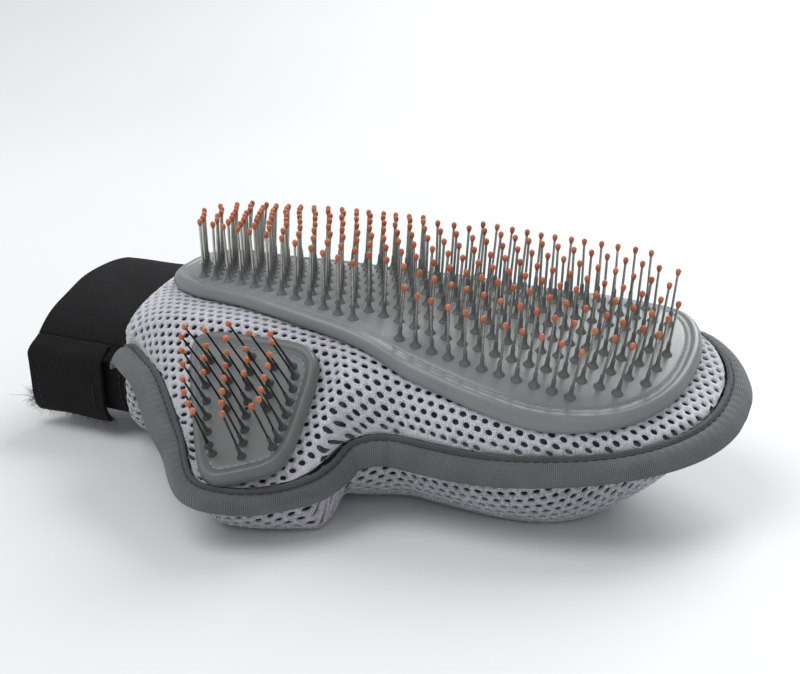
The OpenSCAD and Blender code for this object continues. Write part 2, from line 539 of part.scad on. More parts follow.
placed() palm_fabric();
placed() back_fabric();
placed() edge_binding();
placed() binding_stitching();
placed() palm_pad();
placed() palm_pad_felt();
placed() palm_pad_stitching();
placed() palm_pins();
placed() palm_pin_tips();
placed() wrist_strap();
placed() strap_stitching();
placed() loop_patch();
placed() loop_patch_stitching();
placed() thumb_palm_fabric();
placed() thumb_back_fabric();
placed() thumb_binding();
placed() thumb_binding_stitching();
placed() thumb_pad();
placed() thumb_pad_felt();
placed() thumb_pad_stitching();
placed() thumb_pins();
placed() thumb_pin_tips();
placed() strap_tab();
placed() hook_patch();
placed() hook_patch_stitching();
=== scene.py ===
import bpy, json, math, random
import numpy as np
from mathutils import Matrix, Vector


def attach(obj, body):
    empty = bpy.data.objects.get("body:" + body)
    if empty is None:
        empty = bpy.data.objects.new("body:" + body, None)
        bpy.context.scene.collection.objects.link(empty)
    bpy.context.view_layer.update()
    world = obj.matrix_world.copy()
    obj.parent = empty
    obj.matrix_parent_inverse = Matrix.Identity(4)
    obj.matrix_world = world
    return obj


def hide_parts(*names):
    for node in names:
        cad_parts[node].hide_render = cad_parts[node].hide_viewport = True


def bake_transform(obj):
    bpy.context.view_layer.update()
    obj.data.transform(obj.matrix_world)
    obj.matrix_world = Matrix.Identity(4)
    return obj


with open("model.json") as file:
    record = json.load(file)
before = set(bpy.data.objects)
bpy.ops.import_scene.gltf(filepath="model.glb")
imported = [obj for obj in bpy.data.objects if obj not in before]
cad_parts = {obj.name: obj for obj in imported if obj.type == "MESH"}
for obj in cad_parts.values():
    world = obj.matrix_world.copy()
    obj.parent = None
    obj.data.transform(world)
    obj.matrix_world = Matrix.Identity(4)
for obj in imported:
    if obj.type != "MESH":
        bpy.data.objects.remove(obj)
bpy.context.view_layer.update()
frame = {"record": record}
print("frame loaded")

# ---- measurements of the glove, in mm: x from the cuff rim, z from the table, thumb at -y ----

glove = dict(length=212, cuff=8.0, cuffSlant=5.0, halfWidth=47, tipRound=72, meshThick=2.4,
             rootX=(19.0, 117.0), creaseY=-40.5, thumbX=80, thumbLean=27, swell=15,
             palmPower=3.0, cuffPower=1.6, wristPower=3.8, bellyPower=2.4)
seamHeight = [(0, 45), (18, 43.5), (40, 37.5), (62, 35), (90, 33.5), (112, 33.3), (142, 34.5), (172, 37.3),
              (196, 39.5), (212, 39.5)]
lean = [(0, 14), (9, 9), (20, 2.5), (34, 0), (62, 0), (90, 2), (112, 4.5), (142, 7.5), (172, 12), (196, 17),
        (212, 17)]
palmRise = [(0, 8.5), (8, 11), (18, 14.5), (40, 20.5), (62, 23.5), (90, 24), (112, 23.3), (142, 18.5),
            (172, 12.5), (196, 7), (212, 5)]
bellyDrop = [(0, 36), (18, 40.5), (40, 39), (62, 36.5), (90, 35), (112, 35), (142, 36.5), (172, 38), (196, 29),
             (212, 20)]
widthShare = [(0, 0.79), (18, 0.82), (40, 0.88), (70, 0.94), (110, 0.98), (140, 1), (212, 1)]
tapeDroop = [(0, 66), (10, 48), (18, 22), (40, 15), (116, 50), (150, 50), (190, 28), (212, 35)]
thumbRim = [(11, -36, 31, 15), (23.5, -31.5, 27, 24), (38.5, -26.5, 21, 40), (43.5, -17, 20, 60),
            (43.5, -5, 20, 72), (41, 5, 21.5, 78), (34, 13, 23.5, 78), (25.5, 19.5, 27, 58)]

# the frame's origin is the middle of the footprint; the thumb hinge says where that is
hinge = [j for j in frame["record"]["behaviour"]["joints"] if j["name"] == "thumb_flex"][0]["pos_m"]
shift = np.array([68 - hinge[0] * 1000, -40.5 - hinge[1] * 1000, 0.0])


def toFrame(points):
    return (np.asarray(points, float) - shift) / 1000


def keyed(keys, x):
    n = len(keys)
    i = 0
    while i < n - 2 and x >= keys[i + 1][0]:
        i += 1
    slope = lambda k: ((keys[1][1] - keys[0][1]) / (keys[1][0] - keys[0][0]) if k == 0 else
                       (keys[k][1] - keys[k - 1][1]) / (keys[k][0] - keys[k - 1][0]) if k == n - 1 else
                       (keys[k + 1][1] - keys[k - 1][1]) / (keys[k + 1][0] - keys[k - 1][0]))
    d = keys[i + 1][0] - keys[i][0]
    t = (x - keys[i][0]) / d
    return ((2 * t**3 - 3 * t * t + 1) * keys[i][1] + (t**3 - 2 * t * t + t) * d * slope(i)
            + (3 * t * t - 2 * t**3) * keys[i + 1][1] + (t**3 - t * t) * d * slope(i + 1))


def ease(a, b, x):
    t = min(1, max(0, (x - a) / (b - a)))
    return t * t * (3 - 2 * t)


def mix(a, b, t):
    return a + (b - a) * t


def roundEnd(t, p):
    return max(0, 1 - min(1, max(0, t)) ** p) ** (1 / p)


def signedPower(v, p):
    return math.copysign(abs(v) ** p, v)


def smoothPath(points, steps):
    p = np.asarray(points, float)
    out = []
    for i in range(len(p) - 1):
        a, b, c, d = p[max(0, i - 1)], p[i], p[i + 1], p[min(len(p) - 1, i + 2)]
        for j in range(steps):
            t = j / steps
            out.append(0.5 * (2 * b + (c - a) * t + (2 * a - 5 * b + 4 * c - d) * t * t
                              + (3 * b - a - 3 * c + d) * t**3))
    return np.array(out + [p[-1]])


def seamZ(x): return keyed(seamHeight, x)
def endShare(x, p): return roundEnd((x - glove["length"] + glove["tipRound"]) / glove["tipRound"], p)
def rise(x): return keyed(palmRise, x) * endShare(x, 3)
def drop(x): return keyed(bellyDrop, x) * endShare(x, 3)
def halfWidth(x): return glove["halfWidth"] * keyed(widthShare, x) * endShare(x, 2.2)
def palmPower(x): return mix(glove["cuffPower"], glove["palmPower"], ease(2, 20, x))
def bellyPower(x): return mix(glove["wristPower"], glove["bellyPower"], ease(0, 60, x))


def sideWidth(x, s):
    tx = glove["thumbX"]
    return halfWidth(x) + (glove["swell"] * ease(tx - 70, tx - 34, x) * (1 - ease(tx + 18, tx + 44, x)) if s < 0
                           else 0)


def place(x, u, n):
    a = math.radians(keyed(lean, x))
    k = math.sin(a) if n > 0 else 0
    y = 5 * ease(glove["length"] - glove["tipRound"], glove["length"], x) + u * math.cos(a) - n * k
    return [x, y, max(0, seamZ(x) + u * math.sin(a) + n * math.sqrt(1 - k * k))]


def skin(x, degrees, inset=0):
    a = math.radians(degrees)
    c, s = math.cos(a), math.sin(a)
    top = degrees <= 180
    p = palmPower(x) if top else bellyPower(x)
    w = max(0.3, sideWidth(x, c) - inset)
    h = max(0.3, (rise(x) if top else drop(x)) - inset)
    q = place(x, w * signedPower(c, 2 / p), h * signedPower(s, 2 / p))
    return [q[0], q[1], max(q[2], inset)]


def palmAt(x, v, h=0):
    w = sideWidth(x, v)
    return np.array(place(x, v, rise(x) * roundEnd(abs(v) / w, palmPower(x)) + h))


def palmUp(x, v):
    n = np.cross(palmAt(x + 1, v) - palmAt(x - 1, v), palmAt(x, v + 1) - palmAt(x, v - 1))
    return n / np.linalg.norm(n)


# ---- the seam all round, with the tape's droop as a fourth value ----

def seamPoint(x, s):
    return place(x, s * sideWidth(x, s), 0) + [keyed(tapeDroop, x) if s < 0 else 32]


def thumbPoint(k):
    c, s = math.cos(math.radians(glove["thumbLean"])), math.sin(math.radians(glove["thumbLean"]))
    return [glove["thumbX"] + k[0] * s + k[1] * c, glove["creaseY"] - k[0] * c + k[1] * s, k[2], k[3]]


rootIn, rootOut = glove["rootX"]
wristSeam = [seamPoint(mix(glove["cuff"] + glove["cuffSlant"], rootIn, i / 8), -1) for i in range(8)]
thumbSeam = smoothPath([seamPoint(rootIn, -1), seamPoint(rootIn + 10, -1), seamPoint(rootIn + 20, -1)]
                       + [thumbPoint(k) for k in thumbRim] + [seamPoint(rootOut - 1.5, -1)], 8)
tipX = glove["length"]
fingerSeam = ([seamPoint(mix(rootOut, tipX - 0.5, math.sin(math.pi / 2 * i / 40)), -1) for i in range(41)]
              + [place(tipX, 0, 0) + [35]]
              + [seamPoint(mix(tipX - 0.5, glove["cuff"], 1 - math.cos(math.pi / 2 * i / 60)), 1)
                 for i in range(61)])
seam = np.array(list(wristSeam) + list(thumbSeam) + list(fingerSeam))


def evenly(points, step, closed=False):
    p = np.asarray(points, float)
    if closed:
        p = np.vstack([p, p[:1]])
    d = np.r_[0, np.cumsum(np.linalg.norm(np.diff(p[:, :3], axis=0), axis=1))]
    n = max(2, int(round(d[-1] / step)))
    s = np.linspace(0, d[-1], n + (0 if closed else 1), endpoint=not closed)
    return np.stack([np.interp(s, d, p[:, k]) for k in range(p.shape[1])], 1), d[-1]


# ---- whole sides of the glove as tables: rows along the glove, columns across by length of cloth ----

def bendLast(x, top):
    p = palmPower(x) if top else bellyPower(x)
    w = max(-glove["creaseY"] + 0.2, sideWidth(x, -1))
    a = math.degrees(math.acos(-((-glove["creaseY"] / w) ** (p / 2))))
    return mix(a, 180, ease(rootOut - 18, rootOut - 1, x))


def thumbTop(y):
    d = max(0, glove["creaseY"] - y)
    return 54 - (d - 0.0055 * d * d)


rimX, rimY, rimZ = thumbSeam[:, 0], thumbSeam[:, 1], thumbSeam[:, 2]


def crossLine(x, top, inset=0):
    opened = rootIn < x < rootOut - 1
    last = bendLast(x, top) if opened else 180
    turns = np.r_[np.linspace(0, 80, 40), np.linspace(82, min(98, last - 1), 12), np.linspace(100, last, 40)]
    line = [skin(x, a if top else 360 - a, inset) for a in turns]
    if opened:
        c = line[-1]
        y1, z1 = np.interp(x, rimX, rimY), np.interp(x, rimX, rimZ)
        bent = ease(3, 22, c[1] - y1)  # the thumb's curve; a short row runs straight
        for t in np.linspace(0, 1, 40)[1:]:
            y = mix(c[1], y1, t)
            if top:
                z = mix(thumbTop(y) + (c[2] - thumbTop(c[1])) * (1 - t) ** 2, z1, t**6)
            else:
                z = mix(c[2] * (1 - t) ** 3, z1, t**9)
            line.append([x, y, mix(mix(c[2], z1, t), z, bent)])
    return np.array(line)


cloth = dict(reach=150, step=0.75, rows=300)


def sideTable(top, inset=0):
    # stations closer together where the fingertips close
    closing = np.sin(np.linspace(0, math.pi / 2, 61)[1:])
    xs = np.r_[np.linspace(glove["cuff"], 150, 90), 150 + (tipX - 0.2 - 150) * closing]
    cols = np.arange(-cloth["reach"], cloth["reach"] + 0.01, cloth["step"])
    rows, low, high, crown = [], [], [], []
    for x in xs:
        line = crossLine(x, top, inset)
        line = np.vstack([line[:1], line[1:][np.linalg.norm(np.diff(line, axis=0), axis=1) > 1e-6]])
        d = np.r_[0, np.cumsum(np.linalg.norm(np.diff(line, axis=0), axis=1))]
        mid = place(x, 0, 0)[1]
        zero = np.interp(0, (mid - line[:, 1])[:60], d[:60])
        d -= zero
        rows.append(np.stack([np.interp(cols, d, line[:, k]) for k in range(3)], 1))
        low.append(d[0])
        high.append(d[-1])
        crown.append([np.interp(0, d, line[:, k]) for k in range(3)])
    along = np.r_[0, np.cumsum(np.linalg.norm(np.diff(np.array(crown), axis=0), axis=1))]
    even = np.linspace(0, along[-1], cloth["rows"])
    grid = np.array(rows)
    table = np.empty((len(even), grid.shape[1], 3))
    for k in range(3):
        for j in range(grid.shape[1]):
            table[:, j, k] = np.interp(even, along, grid[:, j, k])
    return dict(points=table, s=even, low=np.interp(even, along, low), high=np.interp(even, along, high),
                sign=1 if top else -1)


def onTable(t, s, l, h=0):
    # cloth lengths (s, l) to points, lifted h along the outward side
    s, l = np.asarray(s, float), np.asarray(l, float)
    s = np.clip(s, 0, t["s"][-1])
    lo, hi = np.interp(s, t["s"], t["low"]), np.interp(s, t["s"], t["high"])
    l = np.clip(l, lo, hi)

    def look(s, l):
        a = np.clip(s / (t["s"][1] - t["s"][0]), 0, len(t["s"]) - 1.001)
        b = np.clip((l + cloth["reach"]) / cloth["step"], 0, t["points"].shape[1] - 1.001)
        i, j = a.astype(int), b.astype(int)
        u, v = (a - i)[..., None], (b - j)[..., None]
        p = t["points"]
        return (p[i, j] * (1 - u) * (1 - v) + p[i + 1, j] * u * (1 - v) + p[i, j + 1] * (1 - u) * v
                + p[i + 1, j + 1] * u * v)
    at = look(s, l)
    ds = look(np.clip(s + 1.5, 0, t["s"][-1]), l) - look(np.clip(s - 1.5, 0, t["s"][-1]), l)
    dl = look(s, np.minimum(l + 1.5, hi)) - look(s, np.maximum(l - 1.5, lo))
    n = np.cross(dl, ds) * t["sign"]
    n /= np.maximum(np.linalg.norm(n, axis=-1, keepdims=True), 1e-9)
    return at + n * np.asarray(h, float)[..., None] if np.ndim(h) else at + n * h


# ---- small helpers ----

def toLinear(hexColour):
    c = [int(hexColour[i:i + 2], 16) / 255 for i in (1, 3, 5)]
    return [v / 12.92 if v <= 0.04045 else ((v + 0.055) / 1.055) ** 2.4 for v in c] + [1]


def addNode(tree, kind, settings=None, links=None):
    node = tree.nodes.new(kind)
    for name, value in (settings or {}).items():
        if isinstance(name, str) and hasattr(node, name):
            setattr(node, name, value)
        else:
            node.inputs[name].default_value = value
    for name, source in (links or {}).items():
        tree.links.new(source, node.inputs[name])
    return node


def newMaterial(name):
    material = bpy.data.materials.new(name)
    material.use_nodes = True
    tree = material.node_tree
    return material, tree, tree.nodes["Principled BSDF"]


def addRamp(tree, source, stops):
    ramp = addNode(tree, "ShaderNodeValToRGB", links={"Fac": source})
    e = ramp.color_ramp.elements
    e[0].position, e[0].color = stops[0][0], toLinear(stops[0][1])
    e[1].position, e[1].color = stops[-1][0], toLinear(stops[-1][1])
    for position, colour in stops[1:-1]:
        e.new(position).color = toLinear(colour)
    return ramp.outputs["Color"]


def makePiece(name, points, faces, material, body="mitt", smooth=True, inMm=True, uv=None):
    mesh = bpy.data.meshes.new(name)
    pts = toFrame(points) if inMm else np.asarray(points)
    mesh.from_pydata([tuple(p) for p in pts], [], [tuple(int(i) for i in f) for f in faces])
    mesh.validate()
    if uv is not None:
        layer = mesh.uv_layers.new(name="lay")
        index = np.empty(len(mesh.loops), np.int32)
        mesh.loops.foreach_get("vertex_index", index)
        layer.data.foreach_set("uv", np.asarray(uv, np.float32)[index].ravel())
    mesh.update()
    if smooth:
        mesh.polygons.foreach_set("use_smooth", [True] * len(mesh.polygons))
    piece = bpy.data.objects.new(name, mesh)
    bpy.context.scene.collection.objects.link(piece)
    mesh.materials.append(material)
    if body:
        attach(piece, body)
    return piece


def gridFaces(rows, cols, closeRows=False, closeCols=False, start=0):
    faces = []
    for i in range(rows if closeRows else rows - 1):
        for j in range(cols if closeCols else cols - 1):
            a, b = (i + 1) % rows, (j + 1) % cols
            faces.append((start + i * cols + j, start + a * cols + j, start + a * cols + b, start + i * cols + b))
    return faces


# ---- materials ----

def objectCoords(tree):
    return addNode(tree, "ShaderNodeTexCoord").outputs["Object"]


def addNoise(tree, coords, scale, detail=2.0):
    settings = {"Scale": scale, "Detail": detail}
    return addNode(tree, "ShaderNodeTexNoise", settings, {"Vector": coords}).outputs["Fac"]


def addWave(tree, coords, scale, direction, distortion=0.0, detail=2.0, detailScale=1.0):
    settings = {"bands_direction": direction, "Scale": scale, "Distortion": distortion, "Detail": detail,
                "Detail Scale": detailScale}
    return addNode(tree, "ShaderNodeTexWave", settings, {"Vector": coords}).outputs["Fac"]


def dress(tree, shader, links, values, bump=None):
    for name, source in links.items():
        tree.links.new(source, shader.inputs[name])
    for name, value in values.items():
        shader.inputs[name].default_value = value
    if bump:
        height, strength, distance = bump
        node = addNode(tree, "ShaderNodeBump", {"Strength": strength, "Distance": distance}, {"Height": height})
        tree.links.new(node.outputs["Normal"], shader.inputs["Normal"])


def makeAirMesh(name, light, dark):
    # knitted polyester spacer mesh: filaments in bundles round open cells; the brightest specks in its colour are
    # painted glints, and lower roughness at the specks makes it glint too
    m, tree, shader = newMaterial(name)
    coords = objectCoords(tree)
    # filaments are 0.15 mm apart; drawn at about 0.5 mm so they show
    strands = addWave(tree, coords, 900.0, "DIAGONAL", 9.0, 3.0, 2.5)
    specksAndPaintedGlint = addNoise(tree, coords, 2600.0)
    patch = addNoise(tree, coords, 45.0)
    fine = addNode(tree, "ShaderNodeMix", {"data_type": "FLOAT", "Factor": 0.5},
                   {"A": strands, "B": specksAndPaintedGlint}).outputs["Result"]
    tone = addNode(tree, "ShaderNodeMath", {"operation": "MULTIPLY_ADD", 1: 0.25},
                   {0: patch, 2: fine}).outputs["Value"]
    # the palest stop is partly painted glint where the specks are brightest
    colour = addRamp(tree, tone, [(0.38, dark), (0.58, light), (0.82, "#e9e9f0")])
    glint = addNode(tree, "ShaderNodeMapRange", {"From Min": 0.5, "From Max": 0.75, "To Min": 0.62, "To Max": 0.3},
                    {"Value": specksAndPaintedGlint}).outputs["Result"]
    dress(tree, shader, {"Base Color": colour, "Roughness": glint},
          {"Sheen Weight": 0.25, "Sheen Roughness": 0.4}, (fine, 0.6, 0.0004))
    return m


def makeLiner():
    # the spacer's inner face, dark and matte in the shade of the outer one
    m, tree, shader = newMaterial("knittedLiner")
    noise = addNoise(tree, objectCoords(tree), 420.0, 3.0)
    colour = addRamp(tree, noise, [(0.35, "#3d4046"), (0.6, "#5d6168"), (0.75, "#777b83")])
    dress(tree, shader, {"Base Color": colour}, {"Roughness": 0.85})
    return m


def makeTape():
    # woven polyester binding: a plain weave seen as fine crosswise ribs with a soft sheen
    m, tree, shader = newMaterial("wovenBindingTape")
    uv = addNode(tree, "ShaderNodeUVMap", {"uv_map": "lay"}).outputs["UV"]
    across = addWave(tree, uv, 0.55, "X", 0.6, 1.0)
    along = addWave(tree, uv, 0.5, "Y", 0.4, 1.0)
    weave = addNode(tree, "ShaderNodeMath", {"operation": "MULTIPLY"}, {0: across, 1: along}).outputs["Value"]
    cloudy = addNoise(tree, uv, 0.12, 3.0)
    tone = addNode(tree, "ShaderNodeMath", {"operation": "MULTIPLY_ADD", 1: 0.5},
                   {0: cloudy, 2: weave}).outputs["Value"]
    colour = addRamp(tree, tone, [(0.15, "#3d4142"), (0.55, "#585c5d"), (1.0, "#717577")])
    # painted shade: the tucked inner edge inside the stitch line lies deeper, so its band is painted darker
    height = addNode(tree, "ShaderNodeSeparateXYZ", links={"Vector": uv}).outputs["Y"]
    innerBandShade = addNode(tree, "ShaderNodeMapRange", {"From Min": 2.6, "From Max": 3.6, "To Min": 0.6, "To Max": 1.0},
                     {"Value": height}).outputs["Result"]
    paintedShadeColour = addNode(tree, "ShaderNodeVectorMath", {"operation": "SCALE"}, {0: colour, "Scale": innerBandShade})
    dress(tree, shader, {"Base Color": paintedShadeColour.outputs["Vector"]}, {"Roughness": 0.72, "Sheen Weight": 0.2},
          (weave, 0.55, 0.0003))
    return m


def makeRubber(name, base, shade, rough):
    # soft moulded rubber: even grey with a faint mould texture and a satin skin that shines at low angles
    m, tree, shader = newMaterial(name)
    coords = objectCoords(tree)
    cloudy = addNoise(tree, coords, 60.0, 4.0)
    grain = addNoise(tree, coords, 1800.0)
    colour = addRamp(tree, cloudy, [(0.3, shade), (0.7, base)])
    satin = addNode(tree, "ShaderNodeMapRange", {"To Min": rough - 0.06, "To Max": rough + 0.08},
                    {"Value": cloudy}).outputs["Result"]
    dress(tree, shader, {"Base Color": colour, "Roughness": satin}, {"IOR": 1.5}, (grain, 0.12, 0.0002))
    return m


def makeThread(name, colours):
    # twisted polyester thread: the twist shows as a fine change of tone
    m, tree, shader = newMaterial(name)
    twist = addWave(tree, objectCoords(tree), 700.0, "DIAGONAL")
    colour = addRamp(tree, twist, [(0.1, colours[0]), (0.9, colours[1])])
    dress(tree, shader, {"Base Color": colour}, {"Roughness": 0.7})
    return m


def makeSteel(name, base, rough):
    # drawn steel wire: bright along its length with fine draw lines
    m, tree, shader = newMaterial(name)
    stretched = addNode(tree, "ShaderNodeMapping", {"Scale": (1, 1, 0.05)}, {"Vector": objectCoords(tree)})
    lines = addNoise(tree, stretched.outputs["Vector"], 3000.0)
    colour = addRamp(tree, lines, [(0.3, base[0]), (0.7, base[1])])
    dress(tree, shader, {"Base Color": colour}, {"Metallic": 1.0, "Roughness": rough})
    return m


def makeTipPlastic():
    # dipped plastic bead: saturated orange with a soft gloss, slightly uneven in colour
    m, tree, shader = newMaterial("dippedPlasticBead")
    colour = addRamp(tree, addNoise(tree, objectCoords(tree), 300.0), [(0.3, "#a85532"), (0.7, "#cf7a50")])
    dress(tree, shader, {"Base Color": colour},
          {"Roughness": 0.38, "Subsurface Weight": 0.08, "Subsurface Scale": 0.001})
    return m


def makeElastic():
    # ribbed woven elastic: black yarn cords with rubber between, so the light breaks into fine lines
    m, tree, shader = newMaterial("ribbedElastic")
    uv = addNode(tree, "ShaderNodeUVMap", {"uv_map": "lay"}).outputs["UV"]
    cords = addWave(tree, uv, 0.6, "X", 1.0, 2.0)
    cloudy = addNoise(tree, uv, 0.2, 4.0)
    tone = addNode(tree, "ShaderNodeMath", {"operation": "MULTIPLY_ADD", 1: 0.35},
                   {0: cords, 2: cloudy}).outputs["Value"]
    colour = addRamp(tree, tone, [(0.3, "#030304"), (0.9, "#0c0c0e")])
    dress(tree, shader, {"Base Color": colour},
          {"Roughness": 0.8, "Sheen Weight": 0.03, "Specular IOR Level": 0.25}, (cords, 0.5, 0.0003))
    return m


def makeFuzz(name, dark, light):
    # hook-and-loop pile: a tangle of fine nylon, matte with pale ends
    m, tree, shader = newMaterial(name)
    tangle = addNoise(tree, objectCoords(tree), 1400.0, 4.0)
    colour = addRamp(tree, tangle, [(0.4, dark), (0.62, light)])
    dress(tree, shader, {"Base Color": colour}, {"Roughness": 0.9}, (tangle, 0.8, 0.0006))
    return m


# one spacer mesh in two copies: the back copy's darker colours are painted shade for the glove's underside
airMesh = makeAirMesh("spacerMesh", "#c9c9d1", "#9a9aa4")
airMeshShaded = makeAirMesh("spacerMeshPaintedShade", "#96969f", "#6c6c75")
liner = makeLiner()
tapeCloth = makeTape()
padRubber = makeRubber("mouldedRubber", "#7f8281", "#757877", 0.3)
# painted shade: the thumb pad is the palm pad's rubber painted darker, for the thumb's front side in shade
thumbPadRubberShaded = makeRubber("mouldedRubberPaintedShade", "#646766", "#5b5e5d", 0.4)
# painted shade: the pin feet are the pads' rubber painted darker, for the shade among the pins
footRubberShaded = makeRubber("pinFootRubberPaintedShade", "#696c6d", "#5d6061", 0.36)
thumbFootRubberShaded = makeRubber("thumbFootRubberShaded", "#45484a", "#3b3e40", 0.5)
tapeThread = makeThread("bindingThread", ("#2d3032", "#45494b"))
padThread = makeThread("padThread", ("#858888", "#a0a2a2"))
thumbThread = makeThread("thumbThread", ("#8d9090", "#adafaf"))
strapThread = makeThread("strapThread", ("#1b1c1e", "#333437"))
wireSteel = makeSteel("drawnSteelWire", ("#8f8d86", "#c9c8c4"), 0.3)
# painted shade: the thumb's pin wire is the palm's steel painted darker, for the thumb's front side in shade
thumbSteelShaded = makeSteel("drawnSteelPaintedShade", ("#34332f", "#4c4b46"), 0.42)
tipPlastic = makeTipPlastic()
elastic = makeElastic()
hookPile = makeFuzz("hookAndLoopPile", "#1d1e20", "#4a4b4e")
frayYarn = makeThread("frayedYarn", ("#17181a", "#6d6f72"))
print("materials made")

# ---- camera ----

camera = dict(azimuth=26.3, elevation=18.0, place=(292.5, -387.8, 185.4), lens=58.7)
camData = bpy.data.cameras.new("camera")
camData.lens, camData.sensor_width = camera["lens"], 36
cam = bpy.data.objects.new("camera", camData)
bpy.context.scene.collection.objects.link(cam)
az, el = math.radians(camera["azimuth"]), math.radians(camera["elevation"])
back = Vector((math.sin(az) * math.cos(el), -math.cos(az) * math.cos(el), math.sin(el)))
cam.location = Vector(toFrame(camera["place"]))
cam.rotation_mode = "QUATERNION"
cam.rotation_quaternion = (-back).to_track_quat("-Z", "Y")
camData.clip_start, camData.clip_end = 0.01, 50
bpy.context.scene.camera = cam

# ---- mesh fabric: an open outer face over a darker inner one ----

knit = dict(pitch=3.65, holeLong=1.18, holeWide=0.98, lip=0.75, crest=0.28, linerDepth=1.9, roll=1.6, puff=1.3)


def makeKnit(name, table, material, nodes, seed):
    rnd = random.Random(seed)
    p = knit["pitch"]
    rowStep = p * math.sqrt(3) / 2
    corner = p / math.sqrt(3)
    outline = []  # six corners and six edge middles of a cell
    for k in range(6):
        a, b = math.radians(30 + 60 * k), math.radians(90 + 60 * k)
        c0, c1 = (corner * math.cos(a), corner * math.sin(a)), (corner * math.cos(b), corner * math.sin(b))
        outline += [c0, ((c0[0] + c1[0]) / 2, (c0[1] + c1[1]) / 2)]
    sAt, lAt, hAt, faces, shared = [], [], [], [], {}

    def addPoint(s, l, h):
        sAt.append(s)
        lAt.append(l)
        hAt.append(h)
    sEnd = table["s"][-1]
    nRows = int(cloth["reach"] / rowStep)

    def sharedPoint(s, l, h):
        key = (round(s * 20), round(l * 20))
        if key not in shared:
            shared[key] = len(sAt)
            addPoint(s, l, h)
        return shared[key]

    for r in range(-nRows, nRows + 1):
        for c in range(-3, int(sEnd / p) + 2):
            s0, l0 = (c + 0.5 * (r % 2)) * p, r * rowStep
            sIn = min(max(s0, 0), sEnd)
            lo, hi = np.interp(sIn, table["s"], table["low"]), np.interp(sIn, table["s"], table["high"])
            if not (lo - 0.5 * p < l0 < hi + 0.5 * p) or s0 > sEnd + 0.45 * p or s0 < -3.4 * p:
                continue
            ring = [sharedPoint(s0 + a, l0 + b, knit["crest"] * (1 if k % 2 == 0 else 0.35))
                    for k, (a, b) in enumerate(outline)]
            if lo + 0.75 < l0 < hi - 0.75 and s0 < sEnd - 1.2:
                grow = rnd.uniform(0.93, 1.07)
                turn = rnd.uniform(-0.12, 0.12)
                start = len(sAt)
                for depth, size in ((0.0, 1.0), (-0.35, 0.93), (-knit["lip"], 0.96)):
                    for k in range(12):
                        a = math.radians(30 + 30 * k) + turn
                        addPoint(s0 + knit["holeLong"] * grow * size * math.cos(a),
                                 l0 + knit["holeWide"] * grow * size * math.sin(a), depth)
                for k in range(12):
                    n = (k + 1) % 12
                    faces.append((ring[k], ring[n], start + n, start + k))
                    for q in (start, start + 12):
                        faces.append((q + k, q + n, q + 12 + n, q + 12 + k))
            else:
                middle = len(sAt)
                addPoint(s0, l0, 0.1)
                faces += [(ring[k], ring[(k + 1) % 12], middle) for k in range(12)]
    s, l, h = np.array(sAt), np.array(lAt), np.array(hAt)
    # the cuff's edge runs back towards the thumb side
    slant = glove["cuffSlant"] * np.clip(l / table["high"][0], 0, 1) ** 2
    inside = np.clip(s, 0, sEnd)
    lo, hi = np.interp(inside, table["s"], table["low"]), np.interp(inside, table["s"], table["high"])
    edge = np.minimum(l - lo, hi - l)
    lift = np.where(edge < 2.5, np.clip(edge, 0, 2.5) / 2.5, 1)  # flat where it goes into the seam
    # the cuff's edge is rolled over its padding
    puff = knit["puff"] * np.exp(-((s - 3.5) / 3.5) ** 2)
    points = onTable(table, s + slant * np.exp(-np.maximum(s, 0) / 14), l,
                     np.where(h > 0, h * lift, h) + puff * lift)
    # below s = 0 the cloth turns in round the cuff's edge
    over = s < 0
    if over.any():
        base = onTable(table, slant[over], l[over], 0)
        out = onTable(table, slant[over], l[over], 1.0) - base
        out[:, 0] = 0
        out /= np.maximum(np.linalg.norm(out, axis=1, keepdims=True), 1e-9)
        r = knit["roll"]
        turn = np.minimum(-s[over] / r, math.pi)
        rest = np.maximum(-s[over] - math.pi * r, 0)
        radial = knit["puff"] * math.exp(-1) * lift[over] - r * (1 - np.cos(turn)) + h[over] * np.cos(turn)
        points[over] = base + out * radial[:, None]
        points[over, 0] = base[:, 0] - (r + np.maximum(h[over], -0.6)) * np.sin(turn) + rest * 0.9
    if table["sign"] < 0:
        faces = [f[::-1] for f in faces]
    points[:, 2] = np.maximum(points[:, 2], 0.02)
    used = [f for f in faces if len(set(tuple(np.round(points[i], 3)) for i in f)) >= 3]
    piece = makePiece(name, points, used, material, None)
    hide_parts(*nodes)
    return piece


def makeLinerSheet(name, table):
    sEnd = table["s"][-1]
    rows, cols = 110, 90
    s = np.repeat(np.linspace(2.5, sEnd - 0.5, rows), cols)
    lo, hi = np.interp(s, table["s"], table["low"]), np.interp(s, table["s"], table["high"])
    l = lo + 0.2 + (hi - lo - 0.4) * np.tile(np.linspace(0, 1, cols), rows)
    edge = np.minimum(l - lo, hi - l)
    depth = knit["linerDepth"] * np.clip(edge / 4, 0.12, 1)
    points = onTable(table, s, l, -depth)
    points[:, 2] = np.maximum(points[:, 2], 0.1)
    faces = gridFaces(rows, cols)
    if table["sign"] > 0:
        faces = [f[::-1] for f in faces]
    piece = makePiece(name, points, faces, liner, None)
    return piece


def spanThumb(piece):
    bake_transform(piece)


